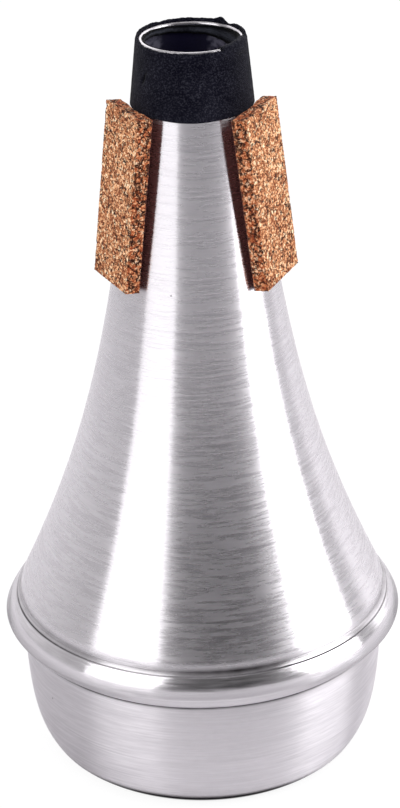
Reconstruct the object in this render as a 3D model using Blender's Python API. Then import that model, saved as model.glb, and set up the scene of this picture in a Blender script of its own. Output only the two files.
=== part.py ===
"""A straight mute for a trumpet: a spun aluminium cone rolled over the rim of a spun aluminium bowl,
with cloth tape round the neck and three cork strips that grip the bell.

Metres, +Z up. The origin is the centre of the flat base that the mute stands on, and the front is -Y.
"""

import math

import bmesh
import bpy
from mathutils import Matrix, Vector

# The whole mute
MOUTH_HEIGHT = 0.1577
BEAD_RADIUS = 0.0425
CLEARANCE = 0.0003
FACETS = 64
FEWEST_FACETS = 3
WELD_DISTANCE = 0.000001
SHARP_EDGE = math.radians(40)
ROUND_POINTS = 7

# Flared shell: outer radius at the mouth, and the lean of its wall from the axis at either end
SHELL_WALL = 0.0009
MOUTH_RADIUS = 0.01055
NECK_LEAN = math.radians(6.25)
NECK_REACH = 0.0608
FOOT_LEAN = math.radians(25.3)
FOOT_REACH = 0.0395
CONE_POINTS = 12
CONE_HALVINGS = 40

# The bead rolled round the shell's foot: a nearly straight shoulder down to the widest line, then an underside
# that slants back to the bowl and ends in a cut edge
BEAD_HEIGHT = 0.0311
SHOULDER_REACH = 0.00247
SHOULDER_RISE = 0.00408
SHOULDER_ROUND = 0.00053
UNDER_REACH = 0.00345
UNDER_DROP = 0.00415
UNDER_ROUND = 0.00098
EDGE_RISE = 0.00145
BEAD_POINTS = 7

# The pressed crease between the cone and the bead: a fine groove at either side of a narrow ridge
CREASE_WIDTH = 0.00098
CREASE_LEAN = math.radians(28)
CREASE_DEPTH = 0.0002
UPPER_GROOVE = 0.25
RIDGE_START = 0.5
RIDGE_END = 0.8

# Bottom bowl
BOWL_WALL = 0.0009
BASE_RADIUS = 0.0302
BASE_CORNER = 0.00495
FLANK_LEAN = math.radians(32.3)
FLANK_REACH = 0.0058
RIM_LEAN = math.radians(1.9)
RIM_REACH = 0.0137
HEM_RISE = 0.0046
HEM_INSIDE = 0.0004
HEM_DROP = 0.0014
BOWL_POINTS = 9

# Cloth tape round the neck, with one flap folded over the lip into the mouth
TAPE_THICKNESS = 0.00035
TAPE_WIDTH = 0.0128
LIP_SHOWING = 0.0005
LINING_THICKNESS = 0.00035
LINING_DEPTH = 0.0018
FLAP_THICKNESS = 0.0002
FLAP_LAP = 0.0007
FLAP_START = math.radians(-55)
FLAP_SWEEP = math.radians(57)
TAPE_POINTS = 4

# Cork strips: flat outside, hollowed inside where they bed on the neck and reach over the tape's foot
CORK_LENGTH = 0.0358
CORK_WIDTH = 0.0152
CORK_THICKNESS = 0.0031
CORK_BED_TOP = 0.00012
CORK_BED_BOTTOM = 0.00095
CORK_OVER_TAPE = 0.0002
BED_LENGTH = 1.3 * CORK_LENGTH
BED_POINTS = 9
# Each strip: its direction round the neck from +X, and its small turn in its own plane, as glued by hand
CORK_PLACES = {
    "cork_strip_left": (math.radians(205.6), math.radians(0.5)),
    "cork_strip_right": (math.radians(-25.6), math.radians(1.8)),
    "cork_strip_back": (math.radians(90), math.radians(-0.8)),
}


def curve_point(share, start, start_handle, end_handle, end):
    """The point of a cubic Bezier curve at this share of its way."""
    rest = 1 - share
    return (
        rest**3 * start
        + 3 * rest * rest * share * start_handle
        + 3 * rest * share * share * end_handle
        + share**3 * end
    )


def curve(start, start_handle, end_handle, end, count):
    return [curve_point(i / (count - 1), start, start_handle, end_handle, end) for i in range(count)]


def leaning_down(lean):
    """The direction in an outline, (radius, height), that runs down and outwards at this angle to the axis."""
    return Vector((math.sin(lean), -math.cos(lean)))


def square_to(lean):
    """The direction square to leaning_down, away from the axis."""
    return Vector((math.cos(lean), math.sin(lean)))


def arc(centre, radius, start, end, count=ROUND_POINTS):
    angles = [start + (end - start) * i / (count - 1) for i in range(count)]
    return [centre + radius * Vector((math.cos(angle), math.sin(angle))) for angle in angles]


def moved_inwards(points, distance):
    """The outline moved square to itself, to the right of its way down, which is into the metal."""
    moved = []
    for i, point in enumerate(points):
        ahead = points[min(i + 1, len(points) - 1)] - points[max(i - 1, 0)]
        ahead.normalize()
        moved.append(point + distance * Vector((ahead.y, -ahead.x)))
    return moved


def turned(name, outline, start=0.0, sweep=math.tau):
    """An object made by carrying an outline of (radius, height) points round the Z axis."""
    shape = bmesh.new()
    across = Vector((math.cos(start), math.sin(start), 0))
    corners = [shape.verts.new(point.x * across + Vector((0, 0, point.y))) for point in outline]
    whole_turn = sweep >= math.tau
    on_axis = outline[0].x == 0 and outline[-1].x == 0
    if whole_turn:
        pairs = list(zip(corners, corners[1:]))
        if not on_axis:
            pairs.append((corners[-1], corners[0]))
        section = corners + [shape.edges.new(pair) for pair in pairs]
    else:
        section = [shape.faces.new(corners)]
    bmesh.ops.spin(
        shape,
        geom=section,
        cent=(0, 0, 0),
        axis=(0, 0, 1),
        angle=sweep,
        steps=max(FEWEST_FACETS, round(FACETS * sweep / math.tau)),
        use_merge=whole_turn,
    )
    bmesh.ops.remove_doubles(shape, verts=shape.verts, dist=WELD_DISTANCE)
    return finished(name, shape)


def finished(name, shape):
    bmesh.ops.recalc_face_normals(shape, faces=shape.faces)
    mesh = bpy.data.meshes.new(name)
    shape.to_mesh(mesh)
    shape.free()
    mesh.shade_smooth()
    mesh.set_sharp_from_angle(angle=SHARP_EDGE)
    piece = bpy.data.objects.new(name, mesh)
    bpy.context.scene.collection.objects.link(piece)
    return piece


def combined(piece, other, operation):
    """Joins or cuts a piece with a helper that stays in the file but isn't rendered."""
    boolean = piece.modifiers.new(other.name, "BOOLEAN")
    boolean.operation = operation
    boolean.solver = "EXACT"
    boolean.object = other
    other.hide_render = True
    other.display_type = "WIRE"


def material(name, colour, roughness, metallic):
    made = bpy.data.materials.new(name)
    made.use_nodes = True
    shader = made.node_tree.nodes["Principled BSDF"]
    shader.inputs["Base Color"].default_value = (*colour, 1)
    shader.inputs["Roughness"].default_value = roughness
    shader.inputs["Metallic"].default_value = metallic
    return made


# Outline of the shell, from the mouth down
BEAD_WIDEST = Vector((BEAD_RADIUS, BEAD_HEIGHT))
BEAD_TOP = BEAD_WIDEST + Vector((-SHOULDER_REACH, SHOULDER_RISE))
BEAD_END = BEAD_WIDEST - Vector((UNDER_REACH, UNDER_DROP))
CONE_FOOT = BEAD_TOP - CREASE_WIDTH * leaning_down(CREASE_LEAN)
LIP_CENTRE = Vector((MOUTH_RADIUS - SHELL_WALL / 2, MOUTH_HEIGHT - SHELL_WALL / 2))
CONE_TOP = LIP_CENTRE + Vector((SHELL_WALL / 2, 0))
CONE_CURVE = (
    CONE_TOP,
    CONE_TOP + NECK_REACH * leaning_down(NECK_LEAN),
    CONE_FOOT - FOOT_REACH * leaning_down(FOOT_LEAN),
    CONE_FOOT,
)


def cone_radius(height):
    """The cone's outer radius at this height, found by halving the curve."""
    low, high = 0.0, 1.0
    for _ in range(CONE_HALVINGS):
        middle = (low + high) / 2
        if curve_point(middle, *CONE_CURVE).y > height:
            low = middle
        else:
            high = middle
    return curve_point(low, *CONE_CURVE).x


def bead(top, widest, end):
    """Down the shoulder, round the widest line and back along the underside."""
    shoulder = curve(top, top, widest + Vector((0, SHOULDER_ROUND)), widest, BEAD_POINTS)
    underside = curve(widest, widest - Vector((0, UNDER_ROUND)), end, end, BEAD_POINTS)
    return shoulder + underside[1:]


def flared_shell():
    """Cone, crease and bead in one spun sheet: down the outside, round the cut edge and up the inside."""
    lip = arc(LIP_CENTRE, SHELL_WALL / 2, math.pi, 0)
    cone = curve(*CONE_CURVE, CONE_POINTS)
    crease = [
        CONE_FOOT.lerp(BEAD_TOP, share) - depth * square_to(CREASE_LEAN)
        for share, depth in ((UPPER_GROOVE, CREASE_DEPTH), (RIDGE_START, 0), (RIDGE_END, 0), (1, CREASE_DEPTH))
    ]
    outside_bead = bead(BEAD_TOP, BEAD_WIDEST, BEAD_END)
    shoulder_lean = math.atan2(SHOULDER_REACH, SHOULDER_RISE)
    inside_bead = bead(
        BEAD_TOP - SHELL_WALL * square_to(shoulder_lean),
        BEAD_WIDEST - Vector((SHELL_WALL, 0)),
        BEAD_END - EDGE_RISE * leaning_down(-RIM_LEAN),
    )
    inside_cone = moved_inwards(cone, SHELL_WALL)
    inside = (inside_cone[1:] + inside_bead)[::-1]
    return turned("flared_shell", lip + cone[1:] + crease + outside_bead[1:] + inside)


def bottom_bowl():
    """A spun cup: its rim is hemmed outwards, and the shell's bead is rolled shut under the hem."""
    seam = BEAD_END - Vector((CLEARANCE, 0))
    corner_centre = Vector((BASE_RADIUS, BASE_CORNER))
    flank_end = corner_centre + BASE_CORNER * square_to(-FLANK_LEAN)
    wall = curve(
        seam,
        seam + RIM_REACH * leaning_down(-RIM_LEAN),
        flank_end - FLANK_REACH * leaning_down(-FLANK_LEAN),
        flank_end,
        BOWL_POINTS,
    )
    outside = wall + arc(corner_centre, BASE_CORNER, -FLANK_LEAN, -math.pi / 2)[1:]
    inside = moved_inwards(outside, BOWL_WALL)
    inside[-1] = Vector((BASE_RADIUS, BOWL_WALL))
    rim = seam - HEM_RISE * leaning_down(-RIM_LEAN)
    hem_centre = rim + Vector((HEM_INSIDE / 2, 0))
    hem_outside = arc(hem_centre, HEM_INSIDE / 2 + BOWL_WALL, math.pi, 0)
    hem_inside = arc(hem_centre, HEM_INSIDE / 2, 0, math.pi)
    drop = Vector((0, -HEM_DROP))
    hem_leg = [hem_outside[-1] + drop, hem_inside[0] + drop]
    base = [Vector((0, 0)), Vector((0, BOWL_WALL))]
    outline = base[1:] + inside[::-1] + hem_outside + hem_leg + hem_inside + outside + base[:1]
    return turned("bottom_bowl", outline)


def neck_band(top, bottom, inner_gap, thickness):
    """An outline that follows the neck between two heights, outside it, or inside it if the gap is negative."""
    heights = [top + (bottom - top) * i / (TAPE_POINTS - 1) for i in range(TAPE_POINTS)]
    inner = [Vector((cone_radius(height) + inner_gap, height)) for height in heights]
    outer = [point + Vector((thickness, 0)) for point in inner]
    return outer + inner[::-1]


TAPE_TOP = MOUTH_HEIGHT - LIP_SHOWING
TAPE_FOOT = TAPE_TOP - TAPE_WIDTH


def neck_tape():
    """The wrapped band, the lining left inside the mouth, and the flap that joins them over the lip."""
    lining_gap = -SHELL_WALL - CLEARANCE - LINING_THICKNESS
    lining_top = LIP_CENTRE.y
    band = turned("neck_tape", neck_band(TAPE_TOP, TAPE_FOOT, CLEARANCE, TAPE_THICKNESS))
    lining = turned(
        "tape_lining",
        neck_band(lining_top, lining_top - LINING_DEPTH, lining_gap, LINING_THICKNESS),
    )
    outside = cone_radius(lining_top) + CLEARANCE + TAPE_THICKNESS / 2
    inside = cone_radius(lining_top) + lining_gap + LINING_THICKNESS / 2
    centre = Vector(((outside + inside) / 2, lining_top))
    fold = (outside - inside) / 2
    lap = FLAP_LAP * leaning_down(NECK_LEAN)
    over = arc(centre, fold + FLAP_THICKNESS / 2, math.pi, 0)
    under = arc(centre, fold - FLAP_THICKNESS / 2, 0, math.pi)
    section = [over[0] + lap] + over + [over[-1] + lap, under[0] + lap] + under + [under[-1] + lap]
    flap = turned("tape_flap", section, FLAP_START, FLAP_SWEEP)
    combined(band, flap, "UNION")
    combined(band, lining, "UNION")
    return band


def cork_bed():
    """What the neck and the tape's foot take out of a cork strip, with the clearance of a glued seat."""
    top = TAPE_TOP
    foot = TAPE_FOOT - CLEARANCE
    bottom = TAPE_FOOT - BED_LENGTH
    tape_side = [
        Vector((cone_radius(height) + 2 * CLEARANCE + TAPE_THICKNESS, height)) for height in (top, foot)
    ]
    heights = [foot + (bottom - foot) * i / (BED_POINTS - 1) for i in range(BED_POINTS)]
    neck_side = [Vector((cone_radius(height) + CLEARANCE, height)) for height in heights]
    return turned("cork_bed", [Vector((0, top))] + tape_side + neck_side + [Vector((0, bottom))])


def cork_strips(bed):
    """Three flat strips spaced round the neck, their top ends just over the tape's foot, leaning with the neck."""
    top = TAPE_FOOT + CORK_OVER_TAPE
    bottom = top - CORK_LENGTH
    top_radius = cone_radius(top) + CLEARANCE - CORK_BED_TOP
    bottom_radius = cone_radius(bottom) + CLEARANCE - CORK_BED_BOTTOM
    lean = math.atan2(bottom_radius - top_radius, CORK_LENGTH)
    strips = []
    for name, (direction, turn) in CORK_PLACES.items():
        shape = bmesh.new()
        bmesh.ops.create_cube(shape, size=1)
        bmesh.ops.scale(shape, vec=(CORK_THICKNESS, CORK_WIDTH, CORK_LENGTH), verts=shape.verts)
        bmesh.ops.translate(shape, vec=(CORK_THICKNESS / 2, 0, -CORK_LENGTH / 2), verts=shape.verts)
        strip = finished(name, shape)
        about_middle = Matrix.Translation((0, 0, -CORK_LENGTH / 2))
        in_plane = about_middle @ Matrix.Rotation(turn, 4, "X") @ about_middle.inverted()
        strip.matrix_world = (
            Matrix.Rotation(direction, 4, "Z")
            @ Matrix.Translation((top_radius, 0, top))
            @ Matrix.Rotation(-lean, 4, "Y")
            @ in_plane
        )
        combined(strip, bed, "DIFFERENCE")
        strips.append(strip)
    return strips


def build():
    for old in list(bpy.data.objects):
        bpy.data.objects.remove(old)
    aluminium = material("spun_aluminium", (0.80, 0.80, 0.81), 0.28, 1.0)
    cork = material("pressed_cork", (0.52, 0.28, 0.15), 0.9, 0.0)
    tape = material("black_cloth_tape", (0.016, 0.016, 0.022), 0.75, 0.0)
    mute = bpy.data.objects.new("trumpet_mute", None)
    bpy.context.scene.collection.objects.link(mute)
    shell = flared_shell()
    shell.data.materials.append(aluminium)
    bowl = bottom_bowl()
    bowl.data.materials.append(aluminium)
    band = neck_tape()
    band.data.materials.append(tape)
    strips = cork_strips(cork_bed())
    for strip in strips:
        strip.data.materials.append(cork)
    for piece in (shell, bowl, band, *strips):
        piece.parent = mute


build()
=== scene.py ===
import bmesh
import bpy
import numpy as np
from mathutils import Matrix, Vector


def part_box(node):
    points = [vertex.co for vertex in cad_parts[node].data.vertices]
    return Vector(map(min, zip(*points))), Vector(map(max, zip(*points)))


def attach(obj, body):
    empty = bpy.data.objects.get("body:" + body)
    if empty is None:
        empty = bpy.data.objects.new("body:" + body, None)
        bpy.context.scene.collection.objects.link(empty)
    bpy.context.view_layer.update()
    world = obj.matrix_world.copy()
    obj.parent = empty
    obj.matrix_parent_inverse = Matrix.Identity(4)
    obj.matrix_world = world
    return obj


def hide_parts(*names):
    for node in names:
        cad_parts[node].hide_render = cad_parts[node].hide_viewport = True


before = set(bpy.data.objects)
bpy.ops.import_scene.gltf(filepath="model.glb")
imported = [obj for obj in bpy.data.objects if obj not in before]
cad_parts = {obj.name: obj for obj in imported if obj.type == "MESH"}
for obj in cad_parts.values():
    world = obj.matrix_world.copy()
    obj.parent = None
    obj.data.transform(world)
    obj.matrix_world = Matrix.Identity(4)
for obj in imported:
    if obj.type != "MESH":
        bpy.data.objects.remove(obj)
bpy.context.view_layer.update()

# The flared shell
# A cone of thin aluminium sheet, spun on a lathe over a wooden form. Its large end is rolled round the
# rim of the bowl into a bead, with a pressed crease above, and the tool's rings are left all over it.
TURN = 2 * np.pi
mouth_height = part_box("flared_shell")[1].z
shell_wall = 0.0009
lip = np.array([0.0101, mouth_height - shell_wall / 2])
widest = np.array([0.0425, 0.0311])
groove = widest + [-0.00247, 0.00408]
bead_end = widest + [-0.00372, -0.00390]


def bezier(start, start_handle, end_handle, end, count):
    """Cubic curve: each point is the four corners weighted by the Bernstein terms of its share of the way."""
    share = np.linspace(0, 1, count)[:, None]
    rest = 1 - share
    return (
        rest**3 * start + 3 * rest**2 * share * start_handle
        + 3 * rest * share**2 * end_handle + share**3 * end
    )


def leaning(degrees):
    """The way down an outline of (radius, height) that leans this much outwards from the axis."""
    return np.array([np.sin(np.radians(degrees)), -np.cos(np.radians(degrees))])


def oval(centre, reach, rise, drop, start, end, count):
    """Points centre + (reach cos a, rise sin a), with drop in place of rise below the centre line."""
    angle = np.linspace(start, end, count)
    tall = np.where(angle > 0, rise, drop)
    return centre + np.stack([reach * np.cos(angle), tall * np.sin(angle)], axis=1)


def offset(outline, distance):
    """Each point moved by distance square to the outline, to the side of the axis where it runs down."""
    way = np.gradient(outline, axis=0)
    way /= np.linalg.norm(way, axis=1)[:, None]
    return outline + distance * np.stack([way[:, 1], -way[:, 0]], axis=1)


def revolved(outline, columns, start=0.0, sweep=TURN):
    """An outline carried round Z: x = r cos a, y = r sin a, z = height, for even steps of the angle a."""
    angle = start + sweep * np.arange(columns) / (columns if sweep == TURN else columns - 1)
    radius, height = outline[:, :1], outline[:, 1:]
    return np.stack([radius * np.cos(angle), radius * np.sin(angle), height + 0 * angle], axis=2)


def ways(grid, axis):
    """The mean length along one axis of a grid from its first line to each of the others, and back."""
    onwards = np.concatenate([grid, np.take(grid, [0], axis)], axis)
    step = np.linalg.norm(np.diff(onwards, axis=axis), axis=2).mean(axis=1 - axis)
    return np.concatenate([[0], np.cumsum(step)])


def surface(name, grid, closed_rows=True, closed_columns=True, **marks):
    """A mesh over a grid of points, with a quad between each four neighbours. Its UV map is the way along
    the columns and down the rows, in metres. Marks are one number for each point, kept as attributes.
    Points that meet, as at a pole, are merged."""
    rows, columns = grid.shape[:2]
    row = np.arange(rows if closed_rows else rows - 1)
    column = np.arange(columns if closed_columns else columns - 1)
    row, column = np.meshgrid(row, column, indexing="ij")
    corners = [(row, column), (row + 1, column), (row + 1, column + 1), (row, column + 1)]
    faces = np.stack([(r % rows) * columns + c % columns for r, c in corners], axis=-1).reshape(-1, 4)
    mesh = bpy.data.meshes.new(name)
    mesh.from_pydata(grid.reshape(-1, 3), [], faces)
    down, across = ways(grid, 0), ways(grid, 1)
    way = np.stack([np.stack([across[c], down[r]], axis=-1) for r, c in corners], axis=2)
    mesh.uv_layers.new(name="way").data.foreach_set("uv", way.reshape(-1))
    for label, mark in marks.items():
        mark = np.broadcast_to(mark, grid.shape[:2]).astype(np.float32)
        mesh.attributes.new(label, "FLOAT", "POINT").data.foreach_set("value", mark.reshape(-1))
    welded = bmesh.new()
    welded.from_mesh(mesh)
    bmesh.ops.remove_doubles(welded, verts=welded.verts, dist=1e-7)
    welded.to_mesh(mesh)
    welded.free()
    mesh.shade_smooth()
    piece = bpy.data.objects.new(name, mesh)
    bpy.context.scene.collection.objects.link(piece)
    return piece


class Socket:
    """One output of a node. Arithmetic on it adds Math nodes beside it."""

    def __init__(self, nodes, output):
        self.nodes, self.output = nodes, output

    def math(self, operation, *items):
        return self.nodes.node("Math", dict(enumerate(items)), operation=operation)

    def __add__(self, other):
        return self.math("ADD", self, other)

    def __sub__(self, other):
        return self.math("SUBTRACT", self, other)

    def __rsub__(self, other):
        return self.math("SUBTRACT", other, self)

    def __mul__(self, other):
        return self.math("MULTIPLY", self, other)

    __radd__, __rmul__ = __add__, __mul__

    def above(self, edge, width):
        """0 below the edge, 1 above it, with a soft step of this width between."""
        inputs = {"Value": self, "From Min": edge - width / 2, "From Max": edge + width / 2}
        return self.nodes.node("MapRange", inputs, interpolation_type="SMOOTHSTEP")

    def between(self, low, high, width):
        """1 between two edges and 0 outside them, with soft steps of this width."""
        return self.above(low, width) * (1 - self.above(high, width))


class Nodes:
    """A node tree in the making. node() adds any node: its settings are set first, then the values or links."""

    def __init__(self, tree):
        self.tree = tree

    def node(self, kind, inputs, output=0, stops=None, **settings):
        made = self.tree.nodes.new("ShaderNode" + kind)
        for setting, value in settings.items():
            setattr(made, setting, value)
        if stops:
            ramp = made.color_ramp
            while len(ramp.elements) < len(stops):
                ramp.elements.new(0)
            for element, (place, colour) in zip(ramp.elements, stops):
                element.position = place
                element.color = (*colour, 1)
        for key, value in inputs.items():
            self.put(made.inputs[key], value)
        return Socket(self, made.outputs[output])

    def put(self, target, value):
        if isinstance(value, Socket):
            self.tree.links.new(value.output, target)
        else:
            target.default_value = value

    def parts(self, vector):
        """The three numbers of a vector."""
        return [self.node("SeparateXYZ", {0: vector}, output=part) for part in range(3)]

    def blend(self, share, first, second):
        """A colour between two colours, which may be links or written as (red, green, blue)."""
        first, second = [item if isinstance(item, Socket) else (*item, 1) for item in (first, second)]
        return self.node("Mix", {0: share, 6: first, 7: second}, output=2, data_type="RGBA")


class Finish(Nodes):
    """A material in the making: the constants of its Principled shader, and what varies over the surface."""

    def __init__(self, name, **constants):
        self.material = bpy.data.materials.new(name)
        self.material.use_nodes = True
        super().__init__(self.material.node_tree)
        self.shader = self.tree.nodes["Principled BSDF"]
        self.feed(**constants)

    def feed(self, **sockets):
        """Values or links for the shader's own sockets, such as Base_Color."""
        for socket, value in sockets.items():
            self.put(self.shader.inputs[socket.replace("_", " ")], value)

    def place(self, *scale):
        """Object coordinates in metres, stretched by this scale along X, Y and Z."""
        return self.node("Mapping", {"Vector": self.node("TexCoord", {}, output=3), "Scale": scale})

    def way(self):
        """The piece's UV map: the way along its columns and down its rows, in metres."""
        return self.parts(self.node("TexCoord", {}, output=2))[:2]

    def mark(self, label):
        return self.node("Attribute", {}, output=2, attribute_name=label)

    def noise(self, place, detail=2.0, **more):
        return self.node("TexNoise", {"Vector": place, "Scale": 1.0, "Detail": detail, **more})

    def bump(self, height, distance, normal=None):
        tilted = {} if normal is None else {"Normal": normal}
        return self.node("Bump", {"Height": height, "Distance": distance, **tilted})


def spun_aluminium():
    """Bare satin metal, a little warm in its greys. The lathe's rings are noise that is long round the axis
    and very short along the outline. The bead is burnished by its roller and bulges a little. Painted shade
    darkens the crease, the groove, the seam, the lower part of the bead and the front of the foot, and the
    inside is dull and painted near black for the shade in the closed hollow, with painted reflections towards
    its sides."""
    metal = Finish("spun aluminium", Specular_IOR_Level=0.1, Anisotropic=0.96, Anisotropic_Rotation=0.25)
    x, y, height = metal.parts(metal.place(1, 1, 1))
    down = metal.way()[1]

    def rings(around, along, detail):
        place = metal.node("CombineXYZ", {0: x * around, 1: y * around, 2: height * around + down * along})
        return metal.noise(place, detail).above(0.5, 0.36)

    fine, broad, bands = rings(190, 2000, 2.0), rings(32, 1500, 2.0), rings(14, 400, 2.0)
    cloud = metal.noise(metal.place(55, 55, 28), 3.0)
    patchy = metal.noise(metal.place(260, 260, 130), 2.0)
    speck = metal.noise(metal.place(700, 700, 700), 0.0).above(0.93, 0.03)
    inside = metal.mark("inside")
    burnished = height.between(0.0274, 0.0356, 0.0008)
    bulge = height.above(0.0321, 0.0033) * 0.0009 - height.above(0.0288, 0.0036) * 0.0010
    outwards = metal.node("NewGeometry", {}, output=1)
    sideways = metal.node("VectorMath", {0: outwards, 1: (0, 0, 1)}, operation="CROSS_PRODUCT")
    sway = (rings(300, 3600, 1.0) - 0.5) * 0.013
    sideways = metal.node("VectorMath", {0: sideways, "Scale": sway}, operation="SCALE")
    swayed = metal.node("VectorMath", {0: outwards, 1: sideways}, operation="ADD")
    tool = 0.52 * fine + 0.33 * broad + 0.15 * bands
    colour = metal.blend(tool, (0.775, 0.745, 0.78), (0.95, 0.92, 0.955))
    colour = metal.blend(cloud.above(0.55, 0.5) * 0.4, colour, (0.85, 0.825, 0.86))
    colour = metal.blend(height.above(0.105, 0.07) * 0.4, colour, (0.70, 0.68, 0.71))
    rough_rings = (1 - height.above(0.0270, 0.0006)) * rings(50, 2900, 3.0)
    colour = metal.blend(rough_rings * 0.26, colour, (0.55, 0.53, 0.555))
    # Painted shade in the crease, the groove and the seam, from the mark made with the shell, plus dark specks
    # and dark patches on the lip.
    dirt_and_shade = metal.mark("soil") * (0.7 + 0.6 * patchy) + speck * 0.7
    dirt_and_shade = dirt_and_shade + height.above(mouth_height - 0.0007, 0.0006) * patchy.above(0.55, 0.20) * 0.4
    # Painted shadow low on the front of the foot, where it meets the floor.
    dirt_and_shade = dirt_and_shade + (1 - height.above(0.0026, 0.0014)) * (y * -1).above(0.0270, 0.013)
    # Painted shade over the lower part of the bead.
    dirt_and_shade = dirt_and_shade + height.between(0.0266, 0.0320, 0.0012) * (0.10 + 0.16 * cloud)
    outer = metal.blend(dirt_and_shade, colour, (0.045, 0.04, 0.045))
    # The inside: painted near black for the shade in the closed hollow, with painted reflections in patches
    # towards its sides.
    beside = x + 0.0012
    inside_reflection = (beside * beside).above(0.00002, 0.00003) * metal.noise(metal.place(700, 250, 900), 2.0)
    inside_reflection = inside_reflection.above(0.42, 0.4)
    hollow = metal.blend(inside_reflection, (0.006, 0.005, 0.018), (0.110, 0.105, 0.145))
    polish = 0.09 * height.above(0.027, 0.001) + 0.08 * burnished
    metal.feed(
        Base_Color=metal.blend(inside, outer, hollow),
        Metallic=1 - inside,
        Roughness=0.298 + 0.092 * tool + 0.04 * cloud - polish + 0.5 * inside,
        Normal=metal.bump(tool * 0.000015 + bulge, 1.0, swayed),
    )
    return metal.material


cone_top = lip + [shell_wall / 2, 0]
cone_foot = groove - 0.00098 * leaning(28)
cone = bezier(cone_top, cone_top + 0.0608 * leaning(6.25), cone_foot - 0.0395 * leaning(25.3), cone_foot, 150)
bare_cone = cone[cone[:, 1] > cone_foot[1] + 0.0018]
hollow = np.array([0.03913, 0.03600])
ridge_top = hollow + [0.00016, -0.00011]
groove_top, groove_foot = groove - 0.00012 * leaning(43), groove + 0.00010 * leaning(48)
drawn_in = bezier(
    bare_cone[-1], bare_cone[-1] + 0.0008 * leaning(25.3), hollow - 0.0009 * leaning(7), hollow, 24
)
step = bezier(hollow, hollow + 0.00008 * leaning(7), ridge_top - 0.00008 * leaning(60), ridge_top, 8)
ridge = bezier(ridge_top, ridge_top + 0.0003 * leaning(52), groove_top - 0.0003 * leaning(43), groove_top, 16)
groove_side = [-0.00011, -0.00008]
groove_round = bezier(groove_top, groove_top + groove_side, groove_foot + groove_side, groove_foot, 9)
shoulder = bezier(groove_foot, groove_foot + 0.0006 * leaning(46), widest + [0, 0.00053], widest, 36)
underside = bezier(widest, widest - [0, 0.00098], bead_end + [0.0002, 0], bead_end, 26)
inner_top, inner_side = groove + [-0.00077, -0.00047], widest - [shell_wall, 0]
inner_end = bead_end + [0.00005, 0.0014]
bead_inside = np.concatenate([
    bezier(inner_end, inner_end, inner_side - [0, 0.0006], inner_side, 8),
    bezier(inner_side, inner_side + [0, 0.0004], inner_top, inner_top, 8)[1:],
])
lip_round = oval(lip, shell_wall / 2, shell_wall / 2, shell_wall / 2, np.pi, 0, 13)
cone_inside = offset(cone, shell_wall)[::-4]
shell_outside = [lip_round, bare_cone, drawn_in, step, ridge, groove_round, shoulder, underside]
shell_outside = np.concatenate([lip_round[:1]] + [part[1:] for part in shell_outside])
shell_outline = np.concatenate([shell_outside, bead_inside, cone_inside[:-1]])


def soiled(outline, spot, width):
    """How much painted shade an outline gets from a spot: a bell curve exp(-(d / width)^2) of the distance, as
    a column.
    """
    return np.exp(-((outline - spot) ** 2).sum(axis=1) / width**2)[:, None]


def swell(angle, middle, width):
    """A bell curve exp(-(d / width)^2) of the angle d from a middle in degrees, the short way round."""
    away = (angle - np.radians(middle) + np.pi) % TURN - np.pi
    return np.exp(-((away / width) ** 2))


angle = TURN * np.arange(288) / 288
# Painted shade in the crease and the groove, its strength set round the axis, and at the seam under the bead.
crease_soil = 0.46 - 0.24 * swell(angle, -112, 0.22) - 0.46 * swell(angle, -48, 0.30)
crease_soil = crease_soil + 0.50 * swell(angle, -78, 0.33)
groove_soil = 0.70 - 0.58 * swell(angle, -88, 0.38) + 0.85 * swell(angle, -52, 0.22)
groove_soil = groove_soil + 0.45 * swell(angle, -160, 0.28)
soil = crease_soil * soiled(shell_outline, ridge_top, 0.00080)
soil = soil + groove_soil * soiled(shell_outline, groove_round[4], 0.00020)
soil = soil + 0.8 * soiled(shell_outline, bead_end, 0.00030)
hidden = np.arange(len(shell_outline)) >= len(shell_outside)
hidden[0] = True
shell = surface("shell_skin", revolved(shell_outline, 288), inside=hidden[:, None], soil=soil)
shell.data.materials.append(spun_aluminium())
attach(shell, "root")
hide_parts("flared_shell")


def cone_radius(height):
    """The cone's outer radius at these heights, read off its outline."""
    return np.interp(height, cone[::-1, 1], cone[::-1, 0])


# The bottom bowl
# A shallow cup of the same sheet, spun in its own mould with a flat base and a rounded corner. Its
# hemmed rim is caught inside the bead, so that only a fine seam shows between the two.
bowl_wall = 0.0009
base_radius, base_corner = 0.0302, 0.00495
flank_lean = np.radians(32.3)
seam = bead_end - [0.00003, 0.00002]
corner = np.array([base_radius, base_corner])
flank = corner + base_corner * np.array([np.cos(flank_lean), -np.sin(flank_lean)])
side_foot = flank + 0.0058 * np.array([np.sin(flank_lean), np.cos(flank_lean)])
bowl_side = bezier(seam, seam + 0.0137 * leaning(-1.9), side_foot, flank, 140)
bowl_corner = oval(corner, base_corner, base_corner, base_corner, -flank_lean, -np.pi / 2, 16)
bowl_base = np.linspace([base_radius, 0], [0, 0], 24)
bowl_outside = np.concatenate([bowl_side, bowl_corner[1:], bowl_base[1:]])
bowl_inside = offset(bowl_outside, bowl_wall)[::-2]
bowl_inside[0] = [0, bowl_wall]
hem_middle = seam + [0.00035, 0.0046]
hem_gap, hem_drop = 0.0002, 0.0014
hem_edge = hem_gap + bowl_wall
hem_outer = oval(hem_middle, hem_edge, hem_edge, hem_edge, np.pi, 0, 14)
hem_inner = oval(hem_middle, hem_gap, hem_gap, hem_gap, 0, np.pi, 10)
hem_leg = np.array([hem_outer[-1] - [0, hem_drop], hem_inner[0] - [0, hem_drop]])
bowl_outline = np.concatenate([bowl_inside, hem_outer, hem_leg, hem_inner, bowl_outside])
hidden = np.arange(len(bowl_outline)) < len(bowl_outline) - len(bowl_outside)
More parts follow.
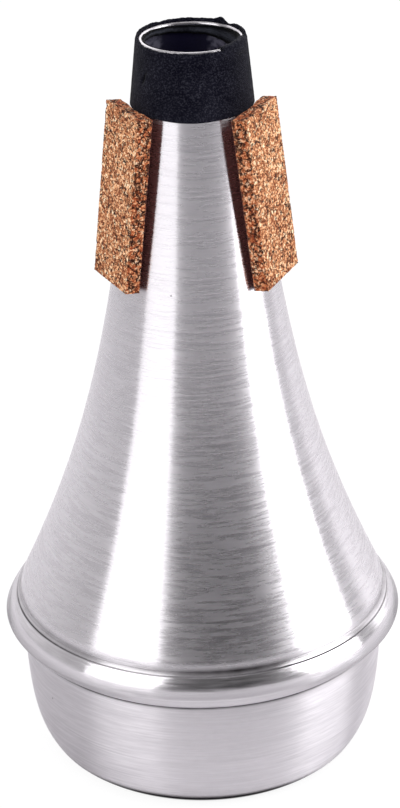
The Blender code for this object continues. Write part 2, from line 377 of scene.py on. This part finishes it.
# Painted shade at the seam under the bead.
soil = 0.95 * soiled(bowl_outline, seam, 0.00035)
bowl = surface("bowl_skin", revolved(bowl_outline, 288), closed_rows=False, inside=hidden[:, None], soil=soil)
bowl.data.materials.append(shell.data.materials[0])
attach(bowl, "root")
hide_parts("bottom_bowl")

# The cork strips
# Three strips cut from a sheet of pressed cork granules and glued to the neck. Crumbs have broken off
# their cut edges, which show the granules end on with dark pits between them.
strip_length, strip_width, strip_thickness = 0.0358, 0.0153, 0.0031
granule = np.array([0.0007, 0.0009, 0.0007])
tape_foot = 0.1444


def cells(place, seed):
    """Cellular noise: the distance from each place to the nearest and to the second nearest of a field of
    scattered centres, one in each unit cube, and a number from 0 to 1 that belongs to the nearest."""
    place = place + seed
    cell = np.floor(place)
    nearest = np.full(len(place), 9.0)
    second = nearest.copy()
    which = np.zeros(len(place))
    turns = np.array([[127.1, 269.5, 113.5], [311.7, 183.3, 271.9], [74.7, 246.1, 124.6]])
    for step in np.ndindex(3, 3, 3):
        there = cell + np.array(step) - 1
        jitter = np.modf(np.abs(np.sin(there @ turns) * 43758.5453))[0]
        far = np.linalg.norm(place - there - jitter, axis=1)
        nearer = far < nearest
        second = np.where(nearer, nearest, np.minimum(second, far))
        which = np.where(nearer, jitter[:, 0], which)
        nearest = np.minimum(nearest, far)
    return nearest, second, which


def pressed_cork(name, direction):
    """Tan granules, each its own shade, wider across the strip than along it, with dark pits where they
    meet. The cut sides are redder and more pitted, with painted shade that darkens them, and the glued face is
    brown with glue."""
    cork = Finish(name, Specular_IOR_Level=0.15, Sheen_Weight=0.05, Sheen_Roughness=0.5)
    place = cork.node("Mapping", {"Vector": cork.place(1, 1, 1), "Rotation": (0, 0, -direction)})
    place = cork.node("Mapping", {"Vector": place, "Scale": (1150, 950, 1150)})
    wobble = cork.node("TexNoise", {"Vector": place, "Scale": 1.3, "Detail": 1.0}, output=1)
    bent = cork.node("VectorMath", {0: place, 1: wobble}, operation="ADD")

    def granules(scale, kind="F1", output=0):
        return cork.node("TexVoronoi", {"Vector": bent, "Scale": scale}, output=output, feature=kind)

    shade = cork.parts(granules(1.05, output=1))[0]
    crumb = cork.parts(granules(2.0, output=1))[0]
    joint = 1 - granules(1.05, "DISTANCE_TO_EDGE").above(0.13, 0.20)
    crack = 1 - granules(2.0, "DISTANCE_TO_EDGE").above(0.11, 0.18)
    grain = cork.noise(place, 2.0, Roughness=0.7)
    side, pit = cork.mark("side"), cork.mark("pit") + cork.mark("split")
    tone = 0.14 + 0.40 * shade + 0.40 * crumb + 0.5 * grain - 0.28 * joint - 0.32 * crack
    stops = [
        (0.08, (0.10, 0.018, 0.005)), (0.28, (0.30, 0.083, 0.0285)), (0.46, (0.56, 0.220, 0.090)),
        (0.62, (0.80, 0.392, 0.185)), (0.78, (0.98, 0.608, 0.342)), (0.94, (1.0, 0.80, 0.55)),
    ]
    colour = cork.node("ValToRGB", {0: tone}, stops=stops)
    # The cut sides are redder, and painted darker for the shade on them.
    colour = cork.blend(side * 0.36, colour, (0.42, 0.072, 0.024))
    ragged = grain + 0.06 * side
    hole = (joint * ragged.above(0.55, 0.14) + crack * ragged.above(0.60, 0.14)) * 0.9
    deep = 1 - (1 - hole) * (1 - pit * 0.85)
    colour = cork.blend(deep, colour, (0.035, 0.007, 0.003))
    cork.feed(
        Base_Color=cork.blend(cork.mark("glue"), colour, (0.15, 0.052, 0.045)),
        Roughness=0.8 + 0.15 * grain,
        Normal=cork.bump(0.6 * grain - 0.7 * hole, 0.0002),
    )
    return cork.material


def strip_grid(direction, turn, split_place):
    """A strip as rings round its section: the section's rectangle, hollowed inside by the neck, is carried
    from end to end, and both ends close on the section's middle. Also gives where the cut sides, the glued
    face and a split are. The split runs a short way down the front edge, in a bow from face to side."""
    top = tape_foot + 0.0002
    bottom = top - strip_length
    top_radius = cone_radius(top) + 0.00018
    bottom_radius = cone_radius(bottom) - 0.00065
    lean = np.arctan2(bottom_radius - top_radius, strip_length)
    across = np.linspace(-0.5, 0.5, 88)
    through = np.linspace(0, 1, 19)[1:-1]
    section = np.concatenate([
        np.stack([0 * across + 1, across], axis=1),
        np.stack([1 - through, 0 * through + 0.5], axis=1),
        np.stack([0 * across, across[::-1]], axis=1),
        np.stack([through, 0 * through - 0.5], axis=1),
    ])
    shrink = np.linspace(0, 1, 12)[:-1]
    rows = np.concatenate([shrink, np.ones(206), shrink[::-1]])
    down = np.concatenate([0 * shrink, np.linspace(0, 1, 206), 0 * shrink + 1])
    middle = np.array([0.5, 0.0])
    flat = middle + rows[:, None, None] * (section - middle)
    out = flat[:, :, 0] * strip_thickness
    side = flat[:, :, 1] * strip_width
    up = (0.5 - down[:, None]) * strip_length + 0 * out
    turned_side = side * np.cos(turn) - up * np.sin(turn)
    below = strip_length / 2 - side * np.sin(turn) - up * np.cos(turn)
    radial = top_radius + below * np.sin(lean) + out * np.cos(lean)
    height = top - below * np.cos(lean) + out * np.sin(lean)
    neck = cone_radius(height) + np.where(height > tape_foot - 0.0003, 0.00065, 0.00015)
    radial = np.maximum(radial, np.sqrt(np.maximum(neck**2 - turned_side**2, 0)))
    x = radial * np.cos(direction) - turned_side * np.sin(direction)
    y = radial * np.sin(direction) + turned_side * np.cos(direction)
    cut = (np.abs(section[:, 1]) == 0.5)[None, :] | (rows < 1)[:, None]
    glued = (section[:, 0] == 0)[None, :] & (rows == 1)[:, None]
    edge = -1 if np.cos(direction) > 0 else 1
    beside = strip_width / 2 - edge * side - (strip_thickness - out)
    bow = (down[:, None] - split_place) / 0.065
    split = np.exp(-((beside - 0.0008 * bow**2 + 0.0004) / 0.0002) ** 2) * (np.abs(bow) < 1)
    return np.stack([x, y, height], axis=2), cut, glued, split


cork_places = {
    "left": (np.radians(205.6), np.radians(0.5), 0.36),
    "right": (np.radians(-25.6), np.radians(1.8), 0.20),
    "back": (np.radians(90), np.radians(-0.8), 0.70),
}
for count, (side_name, (direction, turn, split_place)) in enumerate(cork_places.items()):
    grid, cut, glued, split = strip_grid(direction, turn, split_place)
    strip = surface(f"cork_{side_name}", grid, side=cut, glue=glued, split=split)
    mesh = strip.data
    points, normals = np.zeros((2, len(mesh.vertices), 3))
    side = np.zeros(len(mesh.vertices))
    mesh.vertices.foreach_get("co", points.reshape(-1))
    mesh.vertex_normals.foreach_get("vector", normals.reshape(-1))
    mesh.attributes["side"].data.foreach_get("value", side)
    turned = np.array(Matrix.Rotation(-direction, 3, "Z"))
    near, second, which = cells(points @ turned.T / granule, 3.0 + count)
    joint = np.clip(1 - (second - near) / 0.22, 0, 1)
    lost = (which < 0.05 + 0.20 * side) * np.clip((0.62 - near) / 0.25, 0, 1)
    bite = 0.00007 * joint + 0.00030 * lost * (0.4 + 0.6 * side)
    mesh.vertices.foreach_set("co", (points - normals * bite[:, None]).reshape(-1))
    mesh.attributes.new("pit", "FLOAT", "POINT").data.foreach_set("value", lost.astype(np.float32))
    mesh.materials.append(pressed_cork(f"pressed cork {side_name}", direction))
    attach(strip, "root")
    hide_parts(f"cork_strip_{side_name}")

# The neck tape
# Black cotton tape wrapped round the small end. Its upper part was folded over the lip into the mouth
# and has split there, which leaves a ring of it inside, ragged edges, and one flap over the bright lip.
tape_top = 0.15750
tape_thickness = 0.00048
tape_gap = 0.00007


def waves(angle, seed, counts, fall=0.5):
    """A sum of sines round the neck, with whole numbers of waves and amplitudes that fall with the count."""
    phase = np.random.default_rng(seed).uniform(0, TURN, len(counts))
    return sum(np.sin(count * angle + start) / count**fall for count, start in zip(counts, phase))


def rounding(height):
    """How far the lip's round falls back from its wall at these heights: r - sqrt(r^2 - h^2)."""
    over = np.clip(height - lip[1], 0, 0.98 * shell_wall / 2)
    return shell_wall / 2 - np.sqrt((shell_wall / 2) ** 2 - over**2)


def cloth_tape():
    """Matt black plain weave with grey lint. The threads run along the tape's UV map."""
    tape = Finish("black cloth tape", Specular_IOR_Level=0.04, Sheen_Weight=0.05, Sheen_Roughness=0.4)
    across, along = tape.way()
    thread = TURN / 0.00036
    warp = across.math("SINE", across * thread)
    weft = along.math("SINE", along * thread)
    over = (warp * weft).above(0.0, 1.2)
    weave = over * (0.5 + 0.5 * warp) + (1 - over) * (0.5 + 0.5 * weft)
    cloud = tape.noise(tape.place(170, 170, 170), 4.0)
    lint = tape.noise(tape.place(3000, 3000, 3000), 2.0)
    colour = tape.blend(cloud.above(0.52, 0.4), (0.0008, 0.0008, 0.0048), (0.0050, 0.0050, 0.0105))
    colour = tape.blend(lint.above(0.58, 0.30) * (0.15 + 0.8 * cloud), colour, (0.040, 0.040, 0.054))
    colour = tape.blend(tape.mark("worn") * cloud.above(0.40, 0.40), colour, (0.085, 0.090, 0.115))
    # Painted shade: near black in the fold's crevice and along the lining's top and foot.
    colour = tape.blend(tape.mark("crease"), colour, (0.0005, 0.0005, 0.0010))
    tape.feed(
        Base_Color=colour,
        Roughness=0.62 + 0.2 * cloud,
        Normal=tape.bump(0.5 * weave + 0.8 * lint + 1.2 * cloud, 0.00014),
    )
    return tape.material


tape_finish = cloth_tape()
angle = np.arange(360) * TURN / 360
far_side = 0.5 + 0.5 * np.tanh(4 * np.sin(angle) + 0.6)
lump = swell(angle, 57, 0.09) - 0.75 * swell(angle, 44, 0.08) - 0.3 * swell(angle, 125, 0.05)
rag = 0.00006 * waves(angle, 5, [9, 17, 31, 47, 70, 96], 0.3)
edge_height = tape_top + 0.00080 * far_side + 0.00048 * lump + rag
down = np.linspace(0, 1, 64)[:, None]
foot_height = tape_foot - 0.00042 * swell(angle, -90, 0.65)
height = edge_height + (foot_height - edge_height) * down
crinkle = 0.00006 * waves(angle, 8, [3, 5, 8, 13]) * np.sin(np.pi * down)
crinkle = crinkle + 0.000012 * waves(angle + 9 * down, 2, [40, 66, 90], 0.1)
# The fold is a groove in the cloth with painted shade along it.
fold = swell(angle, 228 - 26 * down, 0.030) * np.sin(np.pi * np.clip((down - 0.33) / 0.26, 0, 1))
curl = np.clip(1 - down / 0.045, 0, 1) ** 2
inside = cone_radius(height) + tape_gap - rounding(height) * (1 - 0.7 * far_side)
outside = inside + tape_thickness - 0.00012 * down + crinkle - 0.00035 * fold
outside = outside + 0.00025 * lump * (1 - down) ** 6 - 0.00015 * curl
radius = np.concatenate([outside, inside[::-3]])
level = np.concatenate([height, height[::-3]])
creased = np.concatenate([fold, 0 * fold[::-3]])
band_grid = np.stack([radius * np.cos(angle), radius * np.sin(angle), level], axis=2)
band = surface("tape_band", band_grid, crease=creased, worn=0)
band.data.materials.append(tape_finish)
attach(band, "root")
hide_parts("neck_tape")

lining_depth = 0.0014 + 0.0036 * swell(angle, 0, 0.65) ** 0.5 + 0.00012 * waves(angle, 12, [4, 9, 17, 33], 0.4)
lining_top = lip[1] + 0.00034 - 0.00044 * swell(angle, 90, 0.9) + 0.00004 * waves(angle, 15, [14, 25, 44], 0.2)
down = np.linspace(0, 1, 24)[:, None]
height = lining_top - lining_depth * down
curl = np.clip(1 - down / 0.10, 0, 1) ** 2
wall = cone_radius(height) - shell_wall - tape_gap + rounding(height)
skin = wall - 0.00034 + 0.00004 * waves(angle + 3 * down, 19, [8, 15, 27], 0.3) + 0.0001 * curl
radius = np.concatenate([wall, skin[::-1]])
level = np.concatenate([height, height[::-1]])
lining_grid = np.stack([radius * np.cos(angle), radius * np.sin(angle), level], axis=2)
# Painted shadow along the lining's top edge and its foot.
middle = np.clip(5 * down * (1 - down) - 0.45, 0, 1)
lining = surface(
    "tape_lining", lining_grid,
    crease=np.concatenate([0 * down, 1 - middle]), worn=np.concatenate([0 * down, middle]),
)
lining.data.materials.append(tape_finish)
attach(lining, "root")

flap_angle = np.radians(np.linspace(-55, -6, 60))
bend = np.linspace(np.pi, 0, 24)[:, None]
flap_lap, flap_gap, flap_thickness = 0.0016, 0.00012, 0.00042
skew = 0.00008 * np.sin(9 * flap_angle) + 0.00006 * np.sin(23 * flap_angle + 1)


def flap_side(reach):
    """The flap's section at this distance from the lip's middle: up the inside, over the lip and down."""
    radius = lip[0] + reach * np.cos(bend) + 0 * flap_angle
    level = lip[1] + reach * np.sin(bend) * (1 + 900 * skew)
    radius = np.concatenate([radius[:1] - 0.0001, radius, radius[-1:] + 0.00017])
    level = np.concatenate([level[:1] - flap_lap, level, level[-1:] - flap_lap])
    return radius, level


inner_reach = shell_wall / 2 + flap_gap
outer, inner = flap_side(inner_reach + flap_thickness), flap_side(inner_reach)
radius, level = [np.concatenate([one, other[::-1]]) for one, other in zip(outer, inner)]
around = flap_angle + 0.03 * np.sin(np.arange(len(radius)) * 2.1)[:, None] * np.linspace(-1, 1, 60) ** 8
flap_grid = np.stack([radius * np.cos(around), radius * np.sin(around), level], axis=2)
caps = [np.broadcast_to(end.mean(axis=0), end.shape) for end in (flap_grid[:, :1], flap_grid[:, -1:])]
flap = surface("tape_flap", np.concatenate([caps[0], flap_grid, caps[1]], axis=1), closed_columns=False, crease=0, worn=0)
flap.data.materials.append(tape_finish)
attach(flap, "root")

# The studio
# A pale floor that fades into white, two tall soft boxes beside the camera that give the metal its two
# bright bands, a pale ceiling, and the dim room behind the camera between the boxes.
floor_shadow = 0.15


def white_floor():
    """White to the camera, with a share of its own shading so that the shadow stays, and a thin painted contact
    shadow round the foot.
    Metal sees the shading over colour painted as shade and light by the distance from the mute: darker near it,
    lighter just in front of it, darker a little further in front and far off, and near black as painted shadow
    under the foot."""
    white = Finish("white floor", Roughness=0.8, Specular_IOR_Level=0.2)
    seen = white.node("LightPath", {}, output=0)
    mirrored = white.node("LightPath", {}, output=3)
    x, y, _ = white.parts(white.place(1, 1, 0))
    away = (x * x + y * y).math("SQRT", x * x + y * y)
    under = mirrored * (1 - away.above(0.0345, 0.002))
    touching = 1 - away.above(0.0319, 0.0006)
    before = (y * -1).math("DIVIDE", y * -1, away).above(0.75, 0.5)
    near, middling = (1 - away.above(0.095, 0.03)) * before, away.between(0.10, 0.19, 0.04) * before
    # Painted shade and light in the floor's colour, seen only in the metal: rings by the distance from the
    # mute, and in front of it.
    colour = white.blend(mirrored * (1 - away.above(0.17, 0.24)), (0.71, 0.70, 0.715), (0.52, 0.51, 0.525))
    colour = white.blend(mirrored * near, colour, (0.73, 0.72, 0.735))
    colour = white.blend(mirrored * middling, colour, (0.37, 0.36, 0.375))
    colour = white.blend(mirrored * away.above(0.6, 0.6), colour, (0.25, 0.25, 0.26))
    # Painted shadow under the foot and in a thin ring round it.
    colour = white.blend(under.math("MAXIMUM", under, touching), colour, (0.02, 0.02, 0.02))
    white.feed(Base_Color=colour)
    glow = white.node("Emission", {"Color": (1, 1, 1, 1), "Strength": 1.08})
    share = seen * (1 - floor_shadow) * (1 - 0.9 * touching) + 0.04 * mirrored * (1 - under)
    mixed = white.node("MixShader", {0: share, 1: Socket(white, white.shader.outputs[0]), 2: glow})
    white.put(white.tree.nodes["Material Output"].inputs["Surface"], mixed)
    return white.material


floor = surface("floor", revolved(np.array([[3.0, 0.0], [0.0, 0.0]]), 64)[::-1], closed_rows=False)
floor.data.materials.append(white_floor())

world = bpy.data.worlds.new("studio")
bpy.context.scene.world = world
world.use_nodes = True
sky = Nodes(world.node_tree)
right, back, up = sky.parts(sky.node("TexCoord", {}))
heading = right.math("ARCTAN2", right, back * -1)
wall_levels = {
    -180: 1.70, -150: 0.90, -125: 0.75, -105: 0.58, -85: 0.45, -60: 0.45, -30: 0.4, -20: 0.16, -12: 0.08,
    0: 0.03, 12: 0.01, 24: 0.02, 40: 0.08, 58: 0.4, 113: 0.4, 121: 1.60, 135: 1.50, 150: 1.25, 180: 1.70,
}
stops = [((azimuth + 180) / 360, (level, level * 0.985, level)) for azimuth, level in wall_levels.items()]
walls = sky.node("ValToRGB", {0: heading * (1 / TURN) + 0.5}, stops=stops)
walls = sky.blend(0.10 * up.above(0.62, 0.24), walls, (1, 1, 1))
room = sky.blend(up.above(0.80, 0.10), walls, (0.50, 0.49, 0.50))
view = sky.blend(sky.node("LightPath", {}), room, (1, 1, 1))
sky.put(sky.tree.nodes["Background"].inputs["Color"], view)


def soft_box(name, azimuth, elevation, distance, width, height, power, in_metal=True, on_cloth=True):
    """A flat lamp aimed at the middle of the mute, at an azimuth counted from the camera to the right."""
    light = bpy.data.lights.new(name, "AREA")
    light.shape = "RECTANGLE"
    light.size, light.size_y = width, height
    light.energy = power
    lamp = bpy.data.objects.new(name, light)
    bpy.context.scene.collection.objects.link(lamp)
    turn, rise = np.radians([azimuth, elevation])
    away = Vector((np.sin(turn) * np.cos(rise), -np.cos(turn) * np.cos(rise), np.sin(rise)))
    lamp.location = Vector((0, 0, 0.08)) + distance * away
    lamp.rotation_euler = away.to_track_quat("Z", "Y").to_euler()
    lamp.visible_glossy = in_metal
    lamp.visible_diffuse = on_cloth
    lamp.visible_camera = False


soft_box("left_box", -48, 14, 1.3, 1.00, 2.4, 10.2)
soft_box("right_box", 79.2, 14, 1.3, 0.90, 2.0, 18.0)
soft_box("overhead", 10, 62, 1.2, 0.9, 0.9, 5.0, in_metal=False)
soft_box("front_fill", -8, 30, 1.4, 0.9, 0.9, 4.0, in_metal=False)

# The camera
# A short telephoto half a metre away, a little above the mute and looking down on it, and rolled by a
# degree as in the photograph. The picture is 400 by 808 pixels, and the lens is given for its long side.
picture_height = 808
focal_pixels = 2600
target = Vector((0.00034, 0, 0.07767))
camera_distance = 0.54565
tilt = np.radians(25.418)
roll_angle = np.radians(-1.142)
camera_data = bpy.data.cameras.new("camera")
camera_data.lens = focal_pixels * camera_data.sensor_width / picture_height
camera_data.clip_start = 0.01
camera = bpy.data.objects.new("camera", camera_data)
bpy.context.scene.collection.objects.link(camera)
bpy.context.scene.camera = camera
stand = target + camera_distance * Vector((0, -np.cos(tilt), np.sin(tilt)))
camera.matrix_world = (
    Matrix.Translation(stand) @ Matrix.Rotation(np.pi / 2 - tilt, 4, "X") @ Matrix.Rotation(roll_angle, 4, "Z")
)
bpy.context.scene.view_settings.view_transform = "Standard"

bpy.context.view_layer.update()
